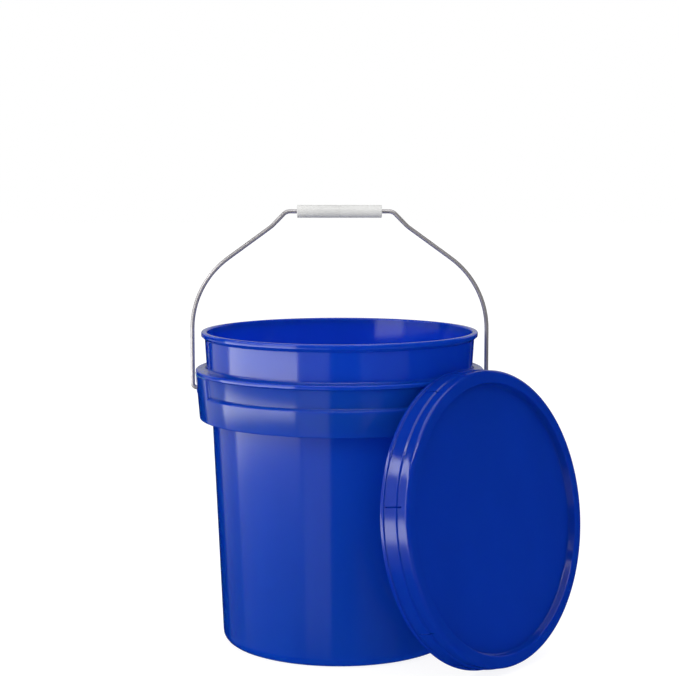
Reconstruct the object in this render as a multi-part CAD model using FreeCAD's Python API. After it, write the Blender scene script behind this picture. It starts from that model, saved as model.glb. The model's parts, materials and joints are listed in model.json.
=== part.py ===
import FreeCAD, Part
import math
import os

# A straight-sided fermenting pail with its wire bail and grip, and the lid that presses on, with
# its gasket, set down leaning against the pail. Millimetres, +Z up. The origin is where the pail's
# axis meets the floor, and the bail swings about an axis along X.

AXIS_Z = FreeCAD.Vector(0, 0, 1)

# The pail.
RIM_RADIUS = 151.0
PAIL_HEIGHT = 342.0
WALL = 2.4
BASE_RADIUS = 128.3
BODY_TAPER = 0.045
CORNER_RADIUS = 11.0
FOOT_WIDTH = 15.0
FOOT_HEIGHT = 4.0
FOOT_DRAFT = 2.0

# The rim's bead and the neck below it.
RIM_WIDTH = 6.2
RIM_HEIGHT = 5.0
RIM_CHAMFER = 3.2
NECK_RADIUS = 145.2
NECK_TAPER = 0.06

# The collar: a flange, a recessed band, and a skirt that hangs open underneath.
FLANGE_TOP = 301.0
FLANGE_THICKNESS = 4.6
FLANGE_RADIUS = 157.2
BAND_RADIUS = 152.3
BAND_TAPER = 0.12
LEDGE_TOP = 276.5
SKIRT_BOTTOM = 247.0
SKIRT_RADIUS = 153.2
SKIRT_TAPER = 0.085
FLANGE_ROOT = 1.2
LEDGE_ROOT = 1.8

# The step inside the wall, hidden behind the collar, on which a nested pail stands.
STEP_TOP = 296.0
STEP_HEIGHT = 6.0
STEP_INSET = 0.2
STEP_SLOPE = 1.0

# The ribs that stiffen the collar.
RIB_COUNT = 24
RIB_THICKNESS = 2.0
RIB_SETBACK = 5.0

# The ears that carry the bail. FACE_GAP keeps the panel's face just inside the skirt's.
PIVOT_HEIGHT = 279.0
EAR_ANGLE = 50.0
BOSS_RADIUS = 6.0
BOSS_INNER_X = 148.6
EYELET_HEIGHT = 0.5
FACE_GAP = 0.05
RUNNING_GAP = 0.06

# The bail and its grip. From the grip's straight the wire drops to a shoulder, slopes down to
# the arms, and turns in through the ears to an upset head.
WIRE_RADIUS = 2.25
BAIL_HALF_WIDTH = 161.0
STRAIGHT_HALF = 58.0
SHOULDER_X = 73.5
SHOULDER_DROP = 16.0
SLOPE_ANGLE = 36.0
STRAIGHT_BEND = 10.0
SHOULDER_BEND = 40.0
ARM_BEND = 96.0
EAR_BEND = 4.5
GRIP_HEIGHT = 471.8
HEAD_RADIUS = 3.3
HEAD_LENGTH = 2.0
HEAD_GAP = 0.4
GRIP_RADIUS = 6.9
GRIP_LENGTH = 92.0
GRIP_CHAMFER = 0.8

# The lid, in its own frame: z = 0 is the top of its ring and the skirt hangs below.
LID_WALL = 2.0
LID_DEPTH = 33.0
LID_INNER_RADIUS = 151.6
LID_STEP_DEPTH = 14.0
LID_STEP_WIDTH = 1.4
LID_LIP_RADIUS = 156.4
LID_LIP_HEIGHT = 4.0
LID_LIP_CORNER = 1.2
LID_FLARE = 1.2
LID_CORNER = 4.0
LID_PLUG_RADIUS = 142.4
LID_RECESS = 8.5
RECESS_DRAFT = 1.2
SNAP_RADIUS = 149.7
SNAP_TOP = 12.8
SNAP_LAND = 1.2
SNAP_CATCH = 1.9
SNAP_RAMP = 4.1
SLOT_COUNT = 7
SLOT_WIDTH = 1.6
SLOT_TOP = 8.0
SLOT_LENGTH = 19.0
SLOT_FIRST_ANGLE = 167.0

# The gasket fills the top of the lid's channel.
GASKET_HEIGHT = 2.4
GASKET_WIDTH = 7.0
GASKET_SQUEEZE = 0.05

# How the lid is set down: the way it faces, how far it leans back and where its foot stands.
LID_FACING = 50.0
LID_LEAN = 8.5
LID_FOOT_OUT = 200.0
LID_FOOT_ALONG = 10.0


def rounded_edges(corners, closed):
    """Lines and arcs through the corners, each (point, radius); the radius rounds that corner."""
    count = len(corners)
    starts = []
    ends = []
    arcs = []
    for index, (point, radius) in enumerate(corners):
        if radius == 0 or (not closed and index in (0, count - 1)):
            starts.append(point)
            ends.append(point)
            arcs.append(None)
            continue
        back = (corners[index - 1][0] - point).normalize()
        ahead = (corners[(index + 1) % count][0] - point).normalize()
        half_angle = back.getAngle(ahead) / 2
        reach = radius / math.tan(half_angle)
        bisector = (back + ahead).normalize()
        middle = point + bisector * (radius / math.sin(half_angle) - radius)
        starts.append(point + back * reach)
        ends.append(point + ahead * reach)
        arcs.append(Part.Arc(starts[-1], middle, ends[-1]).toShape())
    edges = []
    for index in range(count):
        if arcs[index]:
            edges.append(arcs[index])
        if index < count - 1 or closed:
            edges.append(Part.makeLine(ends[index], starts[(index + 1) % count]))
    return edges


def turned(outline, start_angle=0.0, angle=360.0):
    """A solid of revolution about Z from an outline of (radius, height, corner radius)."""
    corners = [(FreeCAD.Vector(r, 0, z), rounding) for r, z, rounding in outline]
    face = Part.Face(Part.Wire(rounded_edges(corners, closed=True)))
    face.rotate(FreeCAD.Vector(0, 0, 0), AXIS_Z, start_angle)
    return face.revolve(FreeCAD.Vector(0, 0, 0), AXIS_Z, angle)


def along_x(radius, start, length, height):
    """A cylinder along X, from start towards +X, with its axis at the given height."""
    base = FreeCAD.Vector(start, 0, height)
    return Part.makeCylinder(radius, length, base, FreeCAD.Vector(1, 0, 0))


def body_radius(height):
    return BASE_RADIUS + BODY_TAPER * height


def neck_radius(height):
    return NECK_RADIUS + NECK_TAPER * (height - FLANGE_TOP)


def skirt_radius(height):
    return SKIRT_RADIUS + SKIRT_TAPER * (height - SKIRT_BOTTOM)


def band_radius(height):
    return BAND_RADIUS + BAND_TAPER * (height - LEDGE_TOP)


def pail_outline():
    floor = FOOT_HEIGHT + WALL
    foot_inner = BASE_RADIUS - FOOT_WIDTH
    step_bottom = STEP_TOP - STEP_HEIGHT
    bead_bottom = PAIL_HEIGHT - RIM_HEIGHT
    neck_top = bead_bottom - RIM_CHAMFER
    flange_bottom = FLANGE_TOP - FLANGE_THICKNESS
    ledge_outer = LEDGE_TOP - WALL
    rim_inner = RIM_RADIUS - RIM_WIDTH
    step_radius = neck_radius(STEP_TOP) - STEP_INSET
    collar_top = flange_bottom + FLANGE_ROOT
    under_base = [
        (0, FOOT_HEIGHT, 0),
        (foot_inner - FOOT_DRAFT, FOOT_HEIGHT, 1.5),
        (foot_inner, 0, 1.0),
        (body_radius(0), 0, CORNER_RADIUS),
    ]
    behind_skirt = [
        (body_radius(step_bottom), step_bottom, 2.0),
        (step_radius, STEP_TOP - STEP_SLOPE, 0.8),
        (step_radius, collar_top, 0.5),
        (BAND_RADIUS - WALL, collar_top, 1.0),
        (BAND_RADIUS - WALL, ledge_outer - LEDGE_ROOT, 1.0),
        (skirt_radius(ledge_outer) - WALL, ledge_outer - 2 * LEDGE_ROOT, 1.0),
        (SKIRT_RADIUS - WALL, SKIRT_BOTTOM, 0.8),
    ]
    collar = [
        (SKIRT_RADIUS, SKIRT_BOTTOM, 1.2),
        (skirt_radius(ledge_outer), ledge_outer, 1.8),
        (BAND_RADIUS, LEDGE_TOP, 1.5),
        (band_radius(flange_bottom), flange_bottom, 1.2),
        (FLANGE_RADIUS, flange_bottom, 1.0),
        (FLANGE_RADIUS, FLANGE_TOP, 1.6),
        (NECK_RADIUS, FLANGE_TOP, 3.0),
    ]
    rim = [
        (neck_radius(neck_top), neck_top, 0.8),
        (RIM_RADIUS, bead_bottom, 1.0),
        (RIM_RADIUS, PAIL_HEIGHT, 1.8),
        (rim_inner, PAIL_HEIGHT, 1.8),
    ]
    inside = [
        (neck_radius(STEP_TOP) - WALL, STEP_TOP + WALL, 2.5),
        (body_radius(step_bottom) - WALL, step_bottom + WALL, 2.5),
        (body_radius(floor) - WALL, floor, CORNER_RADIUS - WALL),
        (0, floor, 0),
    ]
    return under_base + behind_skirt + collar + rim + inside


def ear(side):
    """One thick panel in the collar's recess, flush with the skirt. The boss runs through it
    to a low raised ring round the hole."""
    flange_bottom = FLANGE_TOP - FLANGE_THICKNESS
    inner = BAND_RADIUS - WALL
    low = LEDGE_TOP - 2 * WALL
    high = flange_bottom + WALL / 2
    outline = [
        (inner, low, 0),
        (skirt_radius(low) - FACE_GAP, low, 0),
        (skirt_radius(high) - FACE_GAP, high, 0),
        (inner, high, 0),
    ]
    middle = 0.0 if side > 0 else 180.0
    panel = turned(outline, middle - EAR_ANGLE / 2, EAR_ANGLE)
    reach = skirt_radius(PIVOT_HEIGHT) + EYELET_HEIGHT - BOSS_INNER_X
    start = BOSS_INNER_X if side > 0 else -BOSS_INNER_X - reach
    return panel.fuse(along_x(BOSS_RADIUS, start, reach, PIVOT_HEIGHT))


def collar_ribs():
    """Upright ribs between the pail's wall and the skirt, clear of the bail's ends."""
    bottom = SKIRT_BOTTOM + RIB_SETBACK
    height = FLANGE_TOP - WALL - bottom
    inner = body_radius(bottom) - WALL / 2
    length = skirt_radius(bottom) - WALL / 2 - inner
    ribs = []
    for index in range(RIB_COUNT):
        rib = Part.makeBox(length, RIB_THICKNESS, height)
        rib.translate(FreeCAD.Vector(inner, -RIB_THICKNESS / 2, bottom))
        angle = 360.0 * (index + 0.5) / RIB_COUNT
        rib.rotate(FreeCAD.Vector(0, 0, 0), AXIS_Z, angle)
        ribs.append(rib)
    return ribs


def bucket():
    pail = turned(pail_outline())
    envelope = turned([
        (BASE_RADIUS, SKIRT_BOTTOM, 0),
        (SKIRT_RADIUS - WALL / 2, SKIRT_BOTTOM, 0),
        (BAND_RADIUS - WALL / 2, LEDGE_TOP - 3 * WALL, 0),
        (BAND_RADIUS - WALL / 2, FLANGE_TOP - WALL, 0),
        (BASE_RADIUS, FLANGE_TOP - WALL, 0),
    ])
    step_bottom = STEP_TOP - STEP_HEIGHT
    mouth = turned([
        (0, 0, 0),
        (body_radius(0) - WALL / 2, 0, 0),
        (body_radius(step_bottom) - WALL / 2, step_bottom, 0),
        (neck_radius(STEP_TOP) - WALL / 2, STEP_TOP, 0),
        (neck_radius(STEP_TOP) - WALL / 2, PAIL_HEIGHT, 0),
        (0, PAIL_HEIGHT, 0),
    ])
    ribs = collar_ribs()
    ribs = ribs[0].fuse(ribs[1:]).common(envelope).cut(mouth)
    solid = pail.fuse([ribs, ear(1), ear(-1)])
    hole_start = BOSS_INNER_X - WALL
    hole_length = FLANGE_RADIUS - hole_start
    for start in (hole_start, -FLANGE_RADIUS):
        solid = solid.cut(along_x(WIRE_RADIUS + RUNNING_GAP, start, hole_length, PIVOT_HEIGHT))
    return solid.removeSplitter()


def bail_corners():
    """One half of the bail's centre line, from the middle of the grip to the end in the ear."""
    shoulder_z = GRIP_HEIGHT - SHOULDER_DROP
    slope_drop = (BAIL_HALF_WIDTH - SHOULDER_X) * math.tan(math.radians(SLOPE_ANGLE))
    path = [
        (0, GRIP_HEIGHT, 0),
        (STRAIGHT_HALF, GRIP_HEIGHT, STRAIGHT_BEND),
        (SHOULDER_X, shoulder_z, SHOULDER_BEND),
        (BAIL_HALF_WIDTH, shoulder_z - slope_drop, ARM_BEND),
        (BAIL_HALF_WIDTH, PIVOT_HEIGHT, EAR_BEND),
        (BOSS_INNER_X - HEAD_GAP - HEAD_LENGTH, PIVOT_HEIGHT, 0),
    ]
    return [(FreeCAD.Vector(x, 0, z), rounding) for x, z, rounding in path]


def bail():
    half = bail_corners()
    mirrored = [(FreeCAD.Vector(-p.x, 0, p.z), rounding) for p, rounding in half[:0:-1]]
    path = Part.Wire(rounded_edges(mirrored + half[1:], closed=False))
    start = mirrored[0][0]
    section = Part.Wire(Part.makeCircle(WIRE_RADIUS, start, FreeCAD.Vector(1, 0, 0)))
    wire = path.makePipeShell([section], True, False)
    head_x = BOSS_INNER_X - HEAD_GAP - HEAD_LENGTH
    heads = [
        along_x(HEAD_RADIUS, head_x, HEAD_LENGTH, PIVOT_HEIGHT),
        along_x(HEAD_RADIUS, -head_x - HEAD_LENGTH, HEAD_LENGTH, PIVOT_HEIGHT),
    ]
    return wire.fuse(heads)


def grip():
    start = -GRIP_LENGTH / 2
    tube = along_x(GRIP_RADIUS, start, GRIP_LENGTH, GRIP_HEIGHT)
    tube = tube.makeChamfer(GRIP_CHAMFER, tube.Edges)
    bore = along_x(WIRE_RADIUS + RUNNING_GAP, start - 1, GRIP_LENGTH + 2, GRIP_HEIGHT)
    return tube.cut(bore)


def lid_outline():
    """Half section of the lid: panel, recess wall, ring, skirt, snap bead and lip."""
    skirt_outer = LID_INNER_RADIUS + LID_WALL
    step_outer = skirt_outer + LID_STEP_WIDTH
    recess_inner = LID_PLUG_RADIUS - LID_WALL
    lip_top = -LID_DEPTH + LID_LIP_HEIGHT
    flare_radius = LID_INNER_RADIUS + LID_FLARE
    land_top = -SNAP_TOP - SNAP_LAND
    land_bottom = land_top - SNAP_LAND
    outside = [
        (0, -LID_RECESS, 0),
        (recess_inner - RECESS_DRAFT, -LID_RECESS, 2.0),
        (recess_inner, 0, 1.5),
        (skirt_outer, 0, LID_CORNER),
        (skirt_outer, -LID_STEP_DEPTH + LID_STEP_WIDTH, 0.8),
        (step_outer, -LID_STEP_DEPTH, 0.8),
        (step_outer, lip_top + 0.8, 0.5),
        (LID_LIP_RADIUS, lip_top, 0.8),
        (LID_LIP_RADIUS, -LID_DEPTH, LID_LIP_CORNER),
    ]
    inside = [
        (flare_radius, -LID_DEPTH, 0.8),
        (flare_radius, land_bottom - SNAP_RAMP, 0.8),
        (SNAP_RADIUS, land_bottom, 0.7),
        (SNAP_RADIUS, land_top, 0.5),
        (LID_INNER_RADIUS, land_top + SNAP_CATCH, 0.5),
        (LID_INNER_RADIUS, -LID_WALL, 0),
        (LID_PLUG_RADIUS, -LID_WALL, 0.5),
        (LID_PLUG_RADIUS - RECESS_DRAFT, -LID_RECESS - LID_WALL, 1.5),
        (0, -LID_RECESS - LID_WALL, 0),
    ]
    return outside + inside


def lid():
    solid = turned(lid_outline())
    inner = SNAP_RADIUS - LID_WALL
    length = LID_LIP_RADIUS + LID_WALL - inner
    for index in range(SLOT_COUNT):
        slot = Part.makeBox(length, SLOT_WIDTH, SLOT_LENGTH)
        slot.translate(FreeCAD.Vector(inner, -SLOT_WIDTH / 2, -SLOT_TOP - SLOT_LENGTH))
        angle = SLOT_FIRST_ANGLE + 360.0 * index / SLOT_COUNT
        slot.rotate(FreeCAD.Vector(0, 0, 0), AXIS_Z, angle)
        solid = solid.cut(slot)
    return solid


def gasket():
    outer = LID_INNER_RADIUS + GASKET_SQUEEZE
    return turned([
        (outer - GASKET_WIDTH, -LID_WALL - GASKET_HEIGHT, 0.6),
        (outer, -LID_WALL - GASKET_HEIGHT, 0.6),
        (outer, -LID_WALL, 0),
        (outer - GASKET_WIDTH, -LID_WALL, 0),
    ])


def lid_placement():
    """The lid stands on its lip and leans back; local X is level and local Y points up the lid."""
    facing = math.radians(LID_FACING)
    lean = math.radians(LID_LEAN)
    out = FreeCAD.Vector(math.sin(facing), -math.cos(facing), 0)
    along = FreeCAD.Vector(math.cos(facing), math.sin(facing), 0)
    up = AXIS_Z * math.cos(lean) - out * math.sin(lean)
    normal = out * math.cos(lean) + AXIS_Z * math.sin(lean)
    foot = out * LID_FOOT_OUT + along * LID_FOOT_ALONG
    reach = LID_LIP_RADIUS - LID_LIP_CORNER
    drop = LID_DEPTH - LID_LIP_CORNER
    centre = foot + up * reach + normal * drop
    centre.z = reach * math.cos(lean) + drop * math.sin(lean) + LID_LIP_CORNER
    return FreeCAD.Placement(centre, FreeCAD.Rotation(along, up, normal, "XYZ"))


def main():
    lid_solid = lid()
    gasket_solid = gasket()
    for solid in (lid_solid, gasket_solid):
        solid.Placement = lid_placement().multiply(solid.Placement)
    parts = {
        "bucket": bucket(),
        "bail": bail(),
        "grip": grip(),
        "lid": lid_solid,
        "gasket": gasket_solid,
    }
    os.makedirs("parts", exist_ok=True)
    for name, shape in parts.items():
        shape.exportStep(os.path.join("parts", name + ".step"))
        print(name, shape.isValid(), len(shape.Solids), round(shape.Volume / 1000, 1), "cm3")


main()
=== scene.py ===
import json
import math

import bmesh
import bpy
from mathutils import Matrix, Vector


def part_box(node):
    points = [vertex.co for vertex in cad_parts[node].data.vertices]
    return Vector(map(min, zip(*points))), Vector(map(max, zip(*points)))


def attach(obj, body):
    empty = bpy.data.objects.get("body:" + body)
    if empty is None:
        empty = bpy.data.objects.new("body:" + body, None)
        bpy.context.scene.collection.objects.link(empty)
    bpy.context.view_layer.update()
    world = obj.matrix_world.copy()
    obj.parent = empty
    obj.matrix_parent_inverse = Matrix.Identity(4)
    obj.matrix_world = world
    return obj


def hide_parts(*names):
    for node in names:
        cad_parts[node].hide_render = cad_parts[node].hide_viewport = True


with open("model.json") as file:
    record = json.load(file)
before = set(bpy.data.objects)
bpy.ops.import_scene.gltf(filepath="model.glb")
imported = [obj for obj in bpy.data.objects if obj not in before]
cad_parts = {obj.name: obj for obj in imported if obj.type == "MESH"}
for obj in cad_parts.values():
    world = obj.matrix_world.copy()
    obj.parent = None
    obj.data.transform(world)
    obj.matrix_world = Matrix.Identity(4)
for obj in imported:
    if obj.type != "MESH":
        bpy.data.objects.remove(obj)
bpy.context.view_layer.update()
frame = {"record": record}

# The frame gives the pail's place and size. The drawing is in millimetres of a pail 342 high, and
# MM turns those into metres of the frame.
PAIL_HEIGHT = 342.0
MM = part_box("bucket")[1][2] / PAIL_HEIGHT
JOINTS = {joint["name"]: joint for joint in frame["record"]["behaviour"]["joints"]}
PIVOT_HEIGHT = JOINTS["bail_swing"]["pos_m"][2] / MM
GRIP_HEIGHT = JOINTS["grip_spin"]["pos_m"][2] / MM

# The pail. A taper is millimetres of radius for each millimetre of height; angles are in degrees.
WALL = 2.4
RIM_RADIUS = 151.0
RIM_WIDTH = 6.2
RIM_HEIGHT = 5.0
RIM_CHAMFER = 3.2
BASE_RADIUS = 128.3
BODY_TAPER = 0.045
CORNER_RADIUS = 11.0
FOOT_WIDTH = 15.0
FOOT_HEIGHT = 4.0
FOOT_DRAFT = 2.0
NECK_RADIUS = 145.2
NECK_TAPER = 0.06
FLANGE_TOP = 301.0
FLANGE_BOTTOM = 296.4
FLANGE_RADIUS = 157.2
BAND_RADIUS = 152.3
BAND_TAPER = 0.12
LEDGE_TOP = 276.5
SKIRT_BOTTOM = 247.0
SKIRT_RADIUS = 153.2
SKIRT_TAPER = 0.085
FLANGE_ROOT = 1.2
LEDGE_ROOT = 1.8
STEP_TOP = 296.0
STEP_HEIGHT = 6.0
STEP_INSET = 0.2
STEP_SLOPE = 1.0
EAR_HALF_ANGLE = 25.0
EAR_EDGE_ANGLE = 0.5
EAR_EDGE_STEPS = 6
RIB_COUNT = 24
RIB_THICKNESS = 2.0
RIB_SETBACK = 5.0

# The bail, its grip and the eyelets that its ends go through.
WIRE_RADIUS = 2.25
BAIL_HALF_WIDTH = 161.0
STRAIGHT_HALF = 58.0
SHOULDER_X = 73.5
SHOULDER_DROP = 16.0
SLOPE_ANGLE = 36.0
STRAIGHT_BEND = 10.0
SHOULDER_BEND = 40.0
ARM_BEND = 96.0
EAR_BEND = 4.5
BOSS_INNER_X = 148.6
HEAD_RADIUS = 3.3
HEAD_LENGTH = 2.0
HEAD_GAP = 0.4
HEAD_ROUNDING = 0.3
EYELET_RADIUS = 6.0
EYELET_HEIGHT = 0.5
HOLE_GAP = 0.1
GRIP_RADIUS = 6.9
GRIP_LENGTH = 92.0
PARTING_HALF_WIDTH = 0.5
PARTING_HALF_FLOOR = 0.15
PARTING_DEPTH = 0.25

# The lid, in its own frame: z = 0 is the top of its ring and the skirt hangs below.
LID_WALL = 2.0
LID_DEPTH = 33.0
LID_INNER_RADIUS = 151.6
LID_STEP_DEPTH = 14.0
LID_STEP_WIDTH = 1.4
LID_LIP_RADIUS = 156.4
LID_LIP_HEIGHT = 4.0
LID_FLARE = 1.2
LID_CORNER = 4.0
LID_PLUG_RADIUS = 142.4
LID_RECESS = 8.5
RECESS_DRAFT = 1.2
SNAP_RADIUS = 149.7
SNAP_TOP = 12.8
SNAP_LAND = 1.2
SNAP_CATCH = 1.9
SNAP_RAMP = 4.1
SLOT_COUNT = 7
SLOT_WIDTH = 1.6
SLOT_TOP = 8.0
SLOT_LENGTH = 19.0
SLOT_FIRST_ANGLE = 167.0
GASKET_HEIGHT = 2.4
GASKET_WIDTH = 7.0

# How finely the turned pieces and the wire are divided. A run of wire is at most LONGEST_RUN
# long, and UV_LENGTH of wire is one unit of its UV map. TINY is less than any real distance.
COLUMNS = 288
GASKET_COLUMNS = 192
GRIP_COLUMNS = 96
EYELET_COLUMNS = 48
WIRE_COLUMNS = 24
WIRE_ARC_STEPS = 16
LONGEST_RUN = 12.0
UV_LENGTH = 100.0
TINY = 1e-6

# The camera stands in front of the pail and looks down, with a long lens on a 36 mm sensor.
SENSOR_WIDTH = 36.0
LENS = 92.08
CAMERA_DISTANCE = 1892.5
CAMERA_HEIGHT = 530.9
CAMERA_TILT = 0.104  # radians

# The studio, in metres.
FLOOR_REACH = 12.0
OVERHEAD_HEIGHT = 1.7
OVERHEAD_HALF_WIDTH = 0.8
PANEL_STEPS = 24


# ---------------------------------------------------------------------------- outlines and meshes


def rounded(corners, closed=True, arc_steps=6):
    """Points along an outline of (across, up, corner radius), each corner rounded by an arc. A
    corner that hardly turns gets as many points on a short straight instead, so that outlines
    with the same corners have the same number of points."""
    nearly_straight = math.radians(89.5)
    points = []
    count = len(corners)
    for index, (across, up, radius) in enumerate(corners):
        corner = Vector((across, up))
        if radius == 0 or (not closed and index in (0, count - 1)):
            points.append(corner)
            continue
        back = (Vector(corners[index - 1][:2]) - corner).normalized()
        ahead = (Vector(corners[(index + 1) % count][:2]) - corner).normalized()
        half = back.angle(ahead) / 2
        if half > nearly_straight:
            side = (ahead - back).normalized() * radius * 0.5
            points += [corner + side * (2 * step / arc_steps - 1) for step in range(arc_steps + 1)]
            continue
        centre = corner + (back + ahead).normalized() * (radius / math.sin(half))
        start = corner + back * (radius / math.tan(half)) - centre
        turn = math.pi - 2 * half
        if back.cross(ahead) > 0:
            turn = -turn
        for step in range(arc_steps + 1):
            angle = turn * step / arc_steps
            points.append(centre + Matrix.Rotation(angle, 2) @ start)
    return points


def link_object(name, mesh, material):
    mesh.materials.append(material)
    linked = bpy.data.objects.new(name, mesh)
    bpy.context.scene.collection.objects.link(linked)
    return linked


def new_object(name, shape, material, body):
    """A smooth-shaded piece that rides on a CAD body, from a bmesh in drawing millimetres."""
    bmesh.ops.recalc_face_normals(shape, faces=shape.faces)
    bmesh.ops.scale(shape, vec=(MM, MM, MM), verts=shape.verts)
    mesh = bpy.data.meshes.new(name)
    shape.to_mesh(mesh)
    shape.free()
    mesh.polygons.foreach_set("use_smooth", [True] * len(mesh.polygons))
    piece = link_object(name, mesh, material)
    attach(piece, body)
    return piece


def lathe(profile_at, angles, closed_profile=False):
    """A surface of revolution whose outline may change with the angle, and its columns of
    vertices. Outline points on the axis become one vertex. A closed outline joins its last
    point to its first."""
    shape = bmesh.new()
    rings = []
    poles = {}
    for angle in angles:
        column = []
        for index, point in enumerate(profile_at(angle)):
            if point.x < TINY:
                if index not in poles:
                    poles[index] = shape.verts.new((0, 0, point.y))
                column.append(poles[index])
            else:
                place = (point.x * math.cos(angle), point.x * math.sin(angle), point.y)
                column.append(shape.verts.new(place))
        rings.append(column)
    last = len(rings[0]) if closed_profile else len(rings[0]) - 1
    for column, following in zip(rings, rings[1:] + rings[:1]):
        for index in range(last):
            after = (index + 1) % len(column)
            corners = [column[index], following[index], following[after], column[after]]
            corners = list(dict.fromkeys(corners))
            if len(corners) > 2:
                shape.faces.new(corners)
    return shape, rings


def even_angles(count):
    return [2 * math.pi * index / count for index in range(count)]


# ---------------------------------------------------------------------------- materials


def material_nodes(name):
    material = bpy.data.materials.new(name)
    material.use_nodes = True
    tree = material.node_tree
    return material, tree, tree.nodes["Principled BSDF"]


def add_noise(tree, scale, detail, stretch=(1, 1, 1), distortion=0.0):
    """Noise in the object's own space, in metres; stretch above 1 squeezes it along that axis."""
    coords = tree.nodes.new("ShaderNodeTexCoord")
    mapping = tree.nodes.new("ShaderNodeMapping")
    mapping.inputs["Scale"].default_value = stretch
    noise = tree.nodes.new("ShaderNodeTexNoise")
    noise.inputs["Scale"].default_value = scale
    noise.inputs["Detail"].default_value = detail
    noise.inputs["Distortion"].default_value = distortion
    tree.links.new(coords.outputs["Object"], mapping.inputs["Vector"])
    tree.links.new(mapping.outputs["Vector"], noise.inputs["Vector"])
    return noise.outputs["Fac"]


def add_ramp(tree, value, stops):
    """A colour ramp from (position, colour or grey) stops."""
    ramp = tree.nodes.new("ShaderNodeValToRGB")
    elements = ramp.color_ramp.elements
    while len(elements) < len(stops):
        elements.new(0.5)
    for element, (position, colour) in zip(elements, stops):
        element.position = position
        if not isinstance(colour, tuple):
            colour = (colour, colour, colour)
        element.color = (*colour, 1)
    tree.links.new(value, ramp.inputs["Fac"])
    return ramp.outputs["Color"]


def add_bump(tree, shader, heights):
    """Chains bumps of (height value, strength, distance in metres) into the shader's normal."""
    normal = None
    for value, strength, distance in heights:
        bump = tree.nodes.new("ShaderNodeBump")
        bump.inputs["Strength"].default_value = strength
        bump.inputs["Distance"].default_value = distance
        tree.links.new(value, bump.inputs["Height"])
        if normal:
            tree.links.new(normal, bump.inputs["Normal"])
        normal = bump.outputs["Normal"]
    tree.links.new(normal, shader.inputs["Normal"])


def pail_plastic(name, light, soak):
    """Glossy blue polyethylene: faint colour drift, moulding flow, soft orange peel and scuffs.
    Light soaks that many metres into the wall."""
    material, tree, shader = material_nodes(name)
    drift = add_noise(tree, 9.0, 3.0, (1, 1, 0.5))
    dark = tuple(0.86 * channel for channel in light)
    blue = add_ramp(tree, drift, [(0.3, dark), (0.7, light)])
    tree.links.new(blue, shader.inputs["Base Color"])
    scuffs = add_noise(tree, 160.0, 6.0, (1, 1, 0.15), 0.6)
    haze = add_ramp(tree, scuffs, [(0.35, 0.10), (0.62, 0.14), (0.78, 0.24)])
    tree.links.new(haze, shader.inputs["Roughness"])
    peel = add_noise(tree, 420.0, 2.0)
    flow = add_noise(tree, 30.0, 2.0, (1, 1, 0.12))
    add_bump(tree, shader, [(flow, 0.12, 0.0004), (peel, 0.10, 0.00004)])
    shader.inputs["IOR"].default_value = 1.5
    shader.inputs["Subsurface Weight"].default_value = 0.7
    shader.inputs["Subsurface Radius"].default_value = (0.1, 0.3, 1.0)
    shader.inputs["Subsurface Scale"].default_value = soak
    return material


def zinc_wire():
    """Drawn zinc-plated wire: die lines along the wire and a mottled dull plating."""
    material, tree, shader = material_nodes("bail_wire")
    shader.inputs["Metallic"].default_value = 0.65
    coords = tree.nodes.new("ShaderNodeUVMap")
    mapping = tree.nodes.new("ShaderNodeMapping")
    mapping.inputs["Scale"].default_value = (14.0, 0.8, 1.0)
    lines = tree.nodes.new("ShaderNodeTexNoise")
    lines.inputs["Scale"].default_value = 1.0
    lines.inputs["Detail"].default_value = 4.0
    tree.links.new(coords.outputs["UV"], mapping.inputs["Vector"])
    tree.links.new(mapping.outputs["Vector"], lines.inputs["Vector"])
    mottle = add_noise(tree, 60.0, 3.0)
    grey = add_ramp(tree, mottle, [(0.3, (0.44, 0.42, 0.43)), (0.7, (0.52, 0.50, 0.51))])
    tree.links.new(grey, shader.inputs["Base Color"])
    rough = add_ramp(tree, lines.outputs["Fac"], [(0.3, 0.30), (0.7, 0.38)])
    tree.links.new(rough, shader.inputs["Roughness"])
    add_bump(tree, shader, [(lines.outputs["Fac"], 0.04, 0.00002)])
    return material


def grip_plastic():
    """Satin white polypropylene with fine spark texture and slightly greyed handling marks."""
    material, tree, shader = material_nodes("grip_plastic")
    marks = add_noise(tree, 70.0, 4.0, (0.4, 1, 1))
    white = add_ramp(tree, marks, [(0.35, (0.56, 0.56, 0.55)), (0.7, (0.61, 0.61, 0.60))])
    tree.links.new(white, shader.inputs["Base Color"])
    rough = add_ramp(tree, marks, [(0.3, 0.36), (0.75, 0.5)])
    tree.links.new(rough, shader.inputs["Roughness"])
    grain = add_noise(tree, 1400.0, 2.0)
    add_bump(tree, shader, [(grain, 0.05, 0.00001)])
    return material


def gasket_rubber():
    material, tree, shader = material_nodes("gasket_rubber")
    dust = add_noise(tree, 200.0, 4.0)
    grey = add_ramp(tree, dust, [(0.3, (0.40, 0.40, 0.38)), (0.75, (0.50, 0.50, 0.47))])
    tree.links.new(grey, shader.inputs["Base Color"])
    rough = add_ramp(tree, dust, [(0.3, 0.55), (0.75, 0.75)])
    tree.links.new(rough, shader.inputs["Roughness"])
    add_bump(tree, shader, [(dust, 0.2, 0.00005)])
    return material


# ---------------------------------------------------------------------------- the pail


def body_radius(height):
    return BASE_RADIUS + BODY_TAPER * height


def neck_radius(height):
    return NECK_RADIUS + NECK_TAPER * (height - FLANGE_TOP)


def skirt_radius(height):
    return SKIRT_RADIUS + SKIRT_TAPER * (height - SKIRT_BOTTOM)


def band_radius(height):
    return BAND_RADIUS + BAND_TAPER * (height - LEDGE_TOP)


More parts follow.
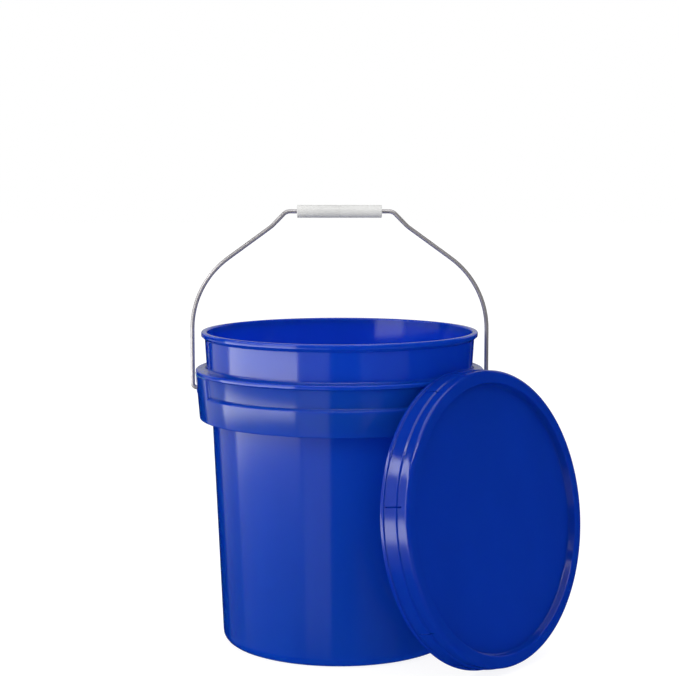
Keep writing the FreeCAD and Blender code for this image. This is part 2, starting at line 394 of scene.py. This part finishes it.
def pail_outline(ear):
    """The pail's half section. Where ear is true, the collar's recess is filled flush."""
    floor = FOOT_HEIGHT + WALL
    foot_inner = BASE_RADIUS - FOOT_WIDTH
    step_bottom = STEP_TOP - STEP_HEIGHT
    bead_bottom = PAIL_HEIGHT - RIM_HEIGHT
    neck_top = bead_bottom - RIM_CHAMFER
    ledge_outer = LEDGE_TOP - WALL
    step_radius = neck_radius(STEP_TOP) - STEP_INSET
    collar_top = FLANGE_BOTTOM + FLANGE_ROOT
    recess_low = skirt_radius(LEDGE_TOP) if ear else BAND_RADIUS
    recess_high = skirt_radius(FLANGE_BOTTOM) if ear else band_radius(FLANGE_BOTTOM)
    return [
        (0, FOOT_HEIGHT, 0),
        (foot_inner - FOOT_DRAFT, FOOT_HEIGHT, 1.5),
        (foot_inner, 0, 1.0),
        (body_radius(0), 0, CORNER_RADIUS),
        (body_radius(step_bottom), step_bottom, 2.0),
        (step_radius, STEP_TOP - STEP_SLOPE, 0.8),
        (step_radius, collar_top, 0.5),
        (BAND_RADIUS - WALL, collar_top, 1.0),
        (BAND_RADIUS - WALL, ledge_outer - LEDGE_ROOT, 1.0),
        (skirt_radius(ledge_outer) - WALL, ledge_outer - 2 * LEDGE_ROOT, 1.0),
        (SKIRT_RADIUS - WALL, SKIRT_BOTTOM, 0.8),
        (SKIRT_RADIUS, SKIRT_BOTTOM, 1.2),
        (skirt_radius(ledge_outer), ledge_outer, 1.8),
        (recess_low, LEDGE_TOP, 1.2 if ear else 1.5),
        (recess_high, FLANGE_BOTTOM, 1.0),
        (FLANGE_RADIUS, FLANGE_BOTTOM, 0.5 if ear else 1.0),
        (FLANGE_RADIUS, FLANGE_TOP, 1.6),
        (NECK_RADIUS, FLANGE_TOP, 3.0),
        (neck_radius(neck_top), neck_top, 0.8),
        (RIM_RADIUS, bead_bottom, 1.0),
        (RIM_RADIUS, PAIL_HEIGHT, 1.8),
        (RIM_RADIUS - RIM_WIDTH, PAIL_HEIGHT, 1.8),
        (neck_radius(STEP_TOP) - WALL, STEP_TOP + WALL, 2.5),
        (body_radius(step_bottom) - WALL, step_bottom + WALL, 2.5),
        (body_radius(floor) - WALL, floor, CORNER_RADIUS - WALL),
        (0, floor, 0),
    ]


def split_long(points, longest):
    """Adds points along long straight runs, so that shading and bump stay even."""
    result = [points[0]]
    for start, end in zip(points, points[1:]):
        pieces = max(1, math.ceil((end - start).length / longest))
        result += [start.lerp(end, step / pieces) for step in range(1, pieces + 1)]
    return result


def ear_share(angle):
    """1 on an ear, 0 off it, with a short smooth edge between."""
    from_ear = abs(math.degrees(angle) % 180.0)
    from_ear = min(from_ear, 180.0 - from_ear)
    share = (EAR_HALF_ANGLE + EAR_EDGE_ANGLE - from_ear) / (2 * EAR_EDGE_ANGLE)
    share = min(1.0, max(0.0, share))
    return share * share * (3 - 2 * share)


def pail_angles():
    """Even columns, and closer ones across each ear's edge. Rounding makes columns that fall in
    the same place into one."""
    angles = even_angles(COLUMNS)
    for middle in (0, 180):
        for side in (-1, 1):
            for step in range(-EAR_EDGE_STEPS, EAR_EDGE_STEPS + 1):
                edge = EAR_HALF_ANGLE + EAR_EDGE_ANGLE * step / EAR_EDGE_STEPS
                angles.append(math.radians(middle + side * edge) % (2 * math.pi))
    return sorted({round(angle, 6) for angle in angles})


def make_pail(material):
    plain = rounded(pail_outline(ear=False), closed=False)
    filled = rounded(pail_outline(ear=True), closed=False)

    def profile_at(angle):
        share = ear_share(angle)
        return [a.lerp(b, share) for a, b in zip(plain, filled)]

    shape, _ = lathe(profile_at, pail_angles())
    pail = new_object("pail_shell", shape, material, "bucket")
    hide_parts("bucket")


def make_collar_ribs(material):
    """Upright ribs inside the collar, each a thin flat plate sunk a little into both walls."""
    shape = bmesh.new()
    sunk = WALL / 2
    low = SKIRT_BOTTOM + RIB_SETBACK
    high = FLANGE_TOP - WALL
    ledge = LEDGE_TOP - 3 * WALL
    step_bottom = STEP_TOP - STEP_HEIGHT
    outline = [
        (body_radius(low) - sunk, low),
        (skirt_radius(low) - sunk, low),
        (BAND_RADIUS - sunk, ledge),
        (BAND_RADIUS - sunk, high),
        (neck_radius(STEP_TOP) - sunk, high),
        (neck_radius(STEP_TOP) - sunk, STEP_TOP),
        (body_radius(step_bottom) - sunk, step_bottom),
    ]
    half = RIB_THICKNESS / 2
    for index in range(RIB_COUNT):
        turn = Matrix.Rotation(2 * math.pi * (index + 0.5) / RIB_COUNT, 3, "Z")
        sides = []
        for side in (-half, half):
            sides.append([shape.verts.new(turn @ Vector((r, side, z))) for r, z in outline])
        shape.faces.new(sides[0])
        shape.faces.new(sides[1])
        for a in range(len(outline)):
            b = (a + 1) % len(outline)
            shape.faces.new([sides[0][a], sides[0][b], sides[1][b], sides[1][a]])
    ribs = new_object("collar_ribs", shape, material, "bucket")
    ribs.data.polygons.foreach_set("use_smooth", [False] * len(ribs.data.polygons))


def make_eyelets(material):
    """The raised ring on each ear round the hole, and the boss behind it."""
    shape = bmesh.new()
    face = skirt_radius(PIVOT_HEIGHT) + EYELET_HEIGHT
    hole = WIRE_RADIUS + HOLE_GAP
    outline = rounded([
        (hole, BOSS_INNER_X, 0.3),
        (EYELET_RADIUS, BOSS_INNER_X, 0.5),
        (EYELET_RADIUS, face, 0.4),
        (hole, face, 0.4),
    ])
    for side in (-1, 1):
        ring, _ = lathe(lambda angle: outline, even_angles(EYELET_COLUMNS), closed_profile=True)
        turn = Matrix.Rotation(math.pi / 2 * side, 4, "Y")
        ring.transform(Matrix.Translation((0, 0, PIVOT_HEIGHT)) @ turn)
        part = bpy.data.meshes.new("part")
        ring.to_mesh(part)
        ring.free()
        shape.from_mesh(part)
        bpy.data.meshes.remove(part)
    new_object("ear_eyelets", shape, material, "bucket")


# ---------------------------------------------------------------------------- bail and grip


def bail_path():
    """The bail's centre line in the plane y = 0, from its left end to its right end."""
    shoulder_z = GRIP_HEIGHT - SHOULDER_DROP
    slope_drop = (BAIL_HALF_WIDTH - SHOULDER_X) * math.tan(math.radians(SLOPE_ANGLE))
    half = [
        (STRAIGHT_HALF, GRIP_HEIGHT, STRAIGHT_BEND),
        (SHOULDER_X, shoulder_z, SHOULDER_BEND),
        (BAIL_HALF_WIDTH, shoulder_z - slope_drop, ARM_BEND),
        (BAIL_HALF_WIDTH, PIVOT_HEIGHT, EAR_BEND),
        (BOSS_INNER_X - HEAD_GAP - HEAD_LENGTH, PIVOT_HEIGHT, 0),
    ]
    left = [(-x, z, radius) for x, z, radius in reversed(half)]
    return rounded(left + half, closed=False, arc_steps=WIRE_ARC_STEPS)


def bail_sections():
    """The wire's centre points and its radius at each, with an upset head at either end."""
    points = split_long(bail_path(), LONGEST_RUN)[1:-1]
    shoulder = BOSS_INNER_X - HEAD_GAP
    end = shoulder - HEAD_LENGTH
    head = [
        (shoulder, WIRE_RADIUS),
        (shoulder - HEAD_ROUNDING, HEAD_RADIUS),
        (end + HEAD_ROUNDING, HEAD_RADIUS),
        (end, HEAD_RADIUS - HEAD_ROUNDING),
    ]
    left = [(Vector((-x, PIVOT_HEIGHT)), radius) for x, radius in reversed(head)]
    right = [(Vector((x, PIVOT_HEIGHT)), radius) for x, radius in head]
    return left + [(point, WIRE_RADIUS) for point in points] + right


def make_bail(material):
    """Rings of vertices along the wire, joined into a tube with flat ends. Its UV map goes once
    round the wire and on along it, for the die lines."""
    sections = bail_sections()
    points = [point for point, _ in sections]
    shape = bmesh.new()
    uv_layer = shape.loops.layers.uv.new("along_wire")
    rings = []
    travelled = [0.0]
    for index, (point, radius) in enumerate(sections):
        before = points[max(0, index - 1)]
        after = points[min(len(points) - 1, index + 1)]
        ahead = (after - before).normalized()
        across = Vector((-ahead.y, ahead.x))
        ring = []
        for angle in even_angles(WIRE_COLUMNS):
            flat = point + across * (radius * math.cos(angle))
            ring.append(shape.verts.new((flat.x, radius * math.sin(angle), flat.y)))
        rings.append(ring)
        if index:
            travelled.append(travelled[-1] + (point - before).length)
    for index in range(len(rings) - 1):
        for step in range(WIRE_COLUMNS):
            following = (step + 1) % WIRE_COLUMNS
            face = shape.faces.new([
                rings[index][step], rings[index][following],
                rings[index + 1][following], rings[index + 1][step],
            ])
            places = [(step, index), (step + 1, index), (step + 1, index + 1), (step, index + 1)]
            for loop, (turn, row) in zip(face.loops, places):
                loop[uv_layer].uv = (turn / WIRE_COLUMNS, travelled[row] / UV_LENGTH)
    shape.faces.new(rings[0])
    shape.faces.new(rings[-1])
    bail = new_object("bail_wire", shape, material, "bail")
    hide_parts("bail")


def make_grip(material):
    """A sleeve with softened ends and a faint parting line round its middle."""
    half = GRIP_LENGTH / 2
    bore = WIRE_RADIUS + HOLE_GAP
    parting_radius = GRIP_RADIUS - PARTING_DEPTH
    outline = rounded([
        (bore, -half, 0.3),
        (GRIP_RADIUS, -half, 0.9),
        (GRIP_RADIUS, -PARTING_HALF_WIDTH, 0.1),
        (parting_radius, -PARTING_HALF_FLOOR, 0.1),
        (parting_radius, PARTING_HALF_FLOOR, 0.1),
        (GRIP_RADIUS, PARTING_HALF_WIDTH, 0.1),
        (GRIP_RADIUS, half, 0.9),
        (bore, half, 0.3),
    ])
    shape, _ = lathe(lambda angle: outline, even_angles(GRIP_COLUMNS), closed_profile=True)
    turn = Matrix.Rotation(math.pi / 2, 4, "Y")
    shape.transform(Matrix.Translation((0, 0, GRIP_HEIGHT)) @ turn)
    grip = new_object("grip_sleeve", shape, material, "grip")
    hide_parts("grip")


# ---------------------------------------------------------------------------- the lid


def lid_placement():
    """From the lid's own frame to the CAD's, in drawing millimetres. The middle of the gasket's
    box is the middle of its ring, which lies under the lid's top."""
    normal = Vector(JOINTS["lid_lift"]["axis"]).normalized()
    along = Vector((0, 0, 1)).cross(normal).normalized()
    up = normal.cross(along)
    low, high = (Vector(corner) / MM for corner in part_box("gasket"))
    origin = (low + high) / 2 + normal * (LID_WALL + GASKET_HEIGHT / 2)
    turn = Matrix((along, up, normal)).transposed().to_4x4()
    return Matrix.Translation(origin) @ turn


def lid_outline():
    skirt_outer = LID_INNER_RADIUS + LID_WALL
    step_outer = skirt_outer + LID_STEP_WIDTH
    recess_inner = LID_PLUG_RADIUS - LID_WALL
    lip_top = -LID_DEPTH + LID_LIP_HEIGHT
    flare_radius = LID_INNER_RADIUS + LID_FLARE
    land_top = -SNAP_TOP - SNAP_LAND
    land_bottom = land_top - SNAP_LAND
    slot_bottom = -SLOT_TOP - SLOT_LENGTH
    outside = [
        (0, -LID_RECESS, 0),
        (recess_inner - RECESS_DRAFT, -LID_RECESS, 2.0),
        (recess_inner, 0, 1.5),
        (skirt_outer, 0, LID_CORNER),
        (skirt_outer, -SLOT_TOP, 0),
        (skirt_outer, -LID_STEP_DEPTH + LID_STEP_WIDTH, 0.8),
        (step_outer, -LID_STEP_DEPTH, 0.8),
        (step_outer, slot_bottom, 0),
        (step_outer, lip_top + 0.8, 0.5),
        (LID_LIP_RADIUS, lip_top, 0.8),
        (LID_LIP_RADIUS, -LID_DEPTH, 1.2),
    ]
    inside = [
        (flare_radius, -LID_DEPTH, 0.8),
        (flare_radius, slot_bottom, 0),
        (flare_radius, land_bottom - SNAP_RAMP, 0.8),
        (SNAP_RADIUS, land_bottom, 0.7),
        (SNAP_RADIUS, land_top, 0.5),
        (LID_INNER_RADIUS, land_top + SNAP_CATCH, 0.5),
        (LID_INNER_RADIUS, -SLOT_TOP, 0),
        (LID_INNER_RADIUS, -LID_WALL, 0.3),
        (LID_PLUG_RADIUS, -LID_WALL, 0.5),
        (LID_PLUG_RADIUS - RECESS_DRAFT, -LID_RECESS - LID_WALL, 1.5),
        (0, -LID_RECESS - LID_WALL, 0),
    ]
    return outside + inside


def cut_slots(shape, rings, starts, outline):
    """Opens each tear slot between two neighbouring columns of the lid and walls it round."""
    heights = (-SLOT_TOP, -SLOT_TOP - SLOT_LENGTH)
    exact = [
        index for index, point in enumerate(outline)
        if any(abs(point.y - height) < TINY for height in heights) and point.x > SNAP_RADIUS
    ]
    outer_top, outer_bottom, inner_bottom, inner_top = exact
    for start in starts:
        left, right = rings[start], rings[(start + 1) % len(rings)]
        spans = [(outer_top, outer_bottom), (inner_bottom, inner_top)]
        for low, high in spans:
            for index in range(low, high):
                corners = {left[index], right[index], right[index + 1], left[index + 1]}
                face = next(f for f in left[index].link_faces if corners <= set(f.verts))
                shape.faces.remove(face)
        walls = []
        for column in (left, right):
            wall = column[outer_top:outer_bottom + 1] + column[inner_bottom:inner_top + 1]
            walls.append(shape.faces.new(wall))
        for a, b in ((outer_top, inner_top), (outer_bottom, inner_bottom)):
            walls.append(shape.faces.new([left[a], right[a], right[b], left[b]]))
        for wall in walls:
            for edge in wall.edges:
                edge.smooth = False


def make_lid(material):
    """The lid, with two columns at each tear slot's edges in place of the even ones there."""
    outline = rounded(lid_outline(), closed=False)
    half_slot = SLOT_WIDTH / (2 * LID_LIP_RADIUS)
    middles = [
        (math.radians(SLOT_FIRST_ANGLE) + 2 * math.pi * index / SLOT_COUNT) % (2 * math.pi)
        for index in range(SLOT_COUNT)
    ]
    spacing = 2 * math.pi / COLUMNS
    angles = [
        angle for angle in even_angles(COLUMNS)
        if all(abs(angle - middle) > 0.6 * spacing for middle in middles)
    ]
    edges = [middle - half_slot for middle in middles]
    angles = sorted(angles + edges + [middle + half_slot for middle in middles])
    shape, rings = lathe(lambda angle: outline, angles)
    cut_slots(shape, rings, [angles.index(edge) for edge in edges], outline)
    shape.transform(lid_placement())
    lid = new_object("lid_shell", shape, material, "lid")
    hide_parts("lid")


def make_gasket(material):
    outer = LID_INNER_RADIUS
    top = -LID_WALL
    outline = rounded([
        (outer - GASKET_WIDTH, top - GASKET_HEIGHT, 0.8),
        (outer, top - GASKET_HEIGHT, 0.8),
        (outer, top, 0.3),
        (outer - GASKET_WIDTH, top, 0.3),
    ])
    shape, _ = lathe(lambda angle: outline, even_angles(GASKET_COLUMNS), closed_profile=True)
    shape.transform(lid_placement())
    gasket = new_object("lid_gasket", shape, material, "lid")
    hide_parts("gasket")


# ---------------------------------------------------------------------------- stage


def emission_material(name, strength):
    """A white glow, with the node that gives it."""
    material = bpy.data.materials.new(name)
    material.use_nodes = True
    tree = material.node_tree
    tree.nodes.clear()
    emit = tree.nodes.new("ShaderNodeEmission")
    emit.inputs["Color"].default_value = (1, 1, 1, 1)
    emit.inputs["Strength"].default_value = strength
    out = tree.nodes.new("ShaderNodeOutputMaterial")
    tree.links.new(emit.outputs["Emission"], out.inputs["Surface"])
    return material, tree, emit


def curved_panel(name, radius, azimuths, heights, strengths):
    """A softbox bent round the pail. Azimuths are in degrees from the camera's side towards
    the left; heights are in metres with a strength at each, blended between."""
    shape = bmesh.new()
    columns = []
    for step in range(PANEL_STEPS + 1):
        azimuth = math.radians(azimuths[0] + (azimuths[1] - azimuths[0]) * step / PANEL_STEPS)
        x, y = -radius * math.sin(azimuth), -radius * math.cos(azimuth)
        columns.append([shape.verts.new((x, y, z)) for z in heights])
    for a, b in zip(columns, columns[1:]):
        for row in range(len(heights) - 1):
            shape.faces.new([a[row], b[row], b[row + 1], a[row + 1]])
    mesh = bpy.data.meshes.new(name)
    shape.to_mesh(mesh)
    shape.free()
    brightest = max(strengths)
    material, tree, emit = emission_material(name, brightest)
    geometry = tree.nodes.new("ShaderNodeNewGeometry")
    parts = tree.nodes.new("ShaderNodeSeparateXYZ")
    reach = tree.nodes.new("ShaderNodeMapRange")
    reach.inputs["From Min"].default_value = heights[0]
    reach.inputs["From Max"].default_value = heights[-1]
    tree.links.new(geometry.outputs["Position"], parts.inputs["Vector"])
    tree.links.new(parts.outputs["Z"], reach.inputs["Value"])
    span = heights[-1] - heights[0]
    stops = [((z - heights[0]) / span, s / brightest) for z, s in zip(heights, strengths)]
    glow = add_ramp(tree, reach.outputs["Result"], stops)
    tree.links.new(glow, emit.inputs["Color"])
    panel = link_object(name, mesh, material)
    panel.visible_camera = False


def level_mesh(name, x_range, y_range, height):
    """One level rectangle."""
    (left, right), (front, back) = x_range, y_range
    corners = [
        (left, front, height), (right, front, height),
        (right, back, height), (left, back, height),
    ]
    mesh = bpy.data.meshes.new(name)
    mesh.from_pydata(corners, [], [(0, 1, 2, 3)])
    return mesh


def overhead_panel(name, front, back, strength):
    """A level softbox overhead, between two distances along Y in metres."""
    sides = (-OVERHEAD_HALF_WIDTH, OVERHEAD_HALF_WIDTH)
    mesh = level_mesh(name, sides, (front, back), OVERHEAD_HEIGHT)
    material, _, _ = emission_material(name, strength)
    panel = link_object(name, mesh, material)
    panel.visible_camera = False


def make_lights():
    """Softboxes that the glossy plastic mirrors as its highlights. They go on below the floor,
    which the plastic doesn't mirror, because a wall seen from above mirrors what is lower."""
    low = [-0.9, -0.55, -0.42, -0.31, -0.24, -0.12, 0.15]
    high = [0.15, 0.28, 1.1, 1.2, 1.5]
    curved_panel("key_low", 1.8, (34, 104), low, [0.05, 0.3, 0.5, 0.8, 2.0, 4.4, 4.4])
    curved_panel("key_high", 1.8, (34, 62), high, [4.4, 1.8, 1.8, 5.0, 5.0])
    curved_panel("key_high_side", 1.8, (62, 104), high, [4.4, 0.5, 0.5, 5.0, 5.0])
    curved_panel("key_side", 1.85, (104, 135), low, [0.05, 0.1, 0.2, 0.3, 0.45, 0.7, 0.7])
    curved_panel("key_edge", 1.85, (8, 33), low, [0.3, 0.5, 0.6, 0.6, 0.6, 0.6, 0.6])
    curved_panel("fill_panel", 1.8, (-58, -17), low, [0.05, 0.05, 0.1, 0.15, 0.17, 0.17, 0.17])
    curved_panel("back_panel", 1.8, (120, 240), [0.42, 0.5, 1.3], [0.5, 0.5, 0.5])
    overhead_panel("top_panel", -1.15, 0.5, 1.2)
    overhead_panel("top_strip", -1.35, -1.15, 8.0)


def make_floor():
    """White paper that glows a little, so that it stays white with a soft shadow on it. The
    glossy plastic doesn't mirror it."""
    sides = (-FLOOR_REACH, FLOOR_REACH)
    material, _, shader = material_nodes("floor_paper")
    shader.inputs["Base Color"].default_value = (0.22, 0.22, 0.22, 1)
    shader.inputs["Emission Color"].default_value = (1, 1, 1, 1)
    shader.inputs["Emission Strength"].default_value = 0.88
    shader.inputs["Roughness"].default_value = 0.9
    shader.inputs["Specular IOR Level"].default_value = 0.0
    floor = link_object("floor", level_mesh("floor", sides, sides, 0), material)
    floor.visible_glossy = False


def make_world():
    world = bpy.data.worlds.new("studio")
    world.use_nodes = True
    background = world.node_tree.nodes["Background"]
    background.inputs["Color"].default_value = (1, 1, 1, 1)
    background.inputs["Strength"].default_value = 1.0
    world.cycles_visibility.glossy = False
    bpy.context.scene.world = world
    bpy.context.scene.view_settings.view_transform = "Standard"


def make_camera():
    camera_data = bpy.data.cameras.new("camera")
    camera_data.sensor_width = SENSOR_WIDTH
    camera_data.lens = LENS
    camera = bpy.data.objects.new("camera", camera_data)
    camera.location = (0, -CAMERA_DISTANCE * MM, CAMERA_HEIGHT * MM)
    camera.rotation_euler = (math.pi / 2 - CAMERA_TILT, 0, 0)
    bpy.context.scene.collection.objects.link(camera)
    bpy.context.scene.camera = camera


def main():
    plastic = pail_plastic("pail_plastic", (0.0022, 0.040, 0.350), soak=0.02)
    make_pail(plastic)
    make_collar_ribs(plastic)
    make_eyelets(plastic)
    make_bail(zinc_wire())
    make_grip(grip_plastic())
    # The lid's blue is the pail's blue darkened: painted shade for the lid facing away from the
    # key light.
    make_lid(pail_plastic("lid_plastic", (0.0018, 0.026, 0.300), soak=0.006))
    make_gasket(gasket_rubber())
    make_floor()
    make_world()
    make_lights()
    make_camera()


main()
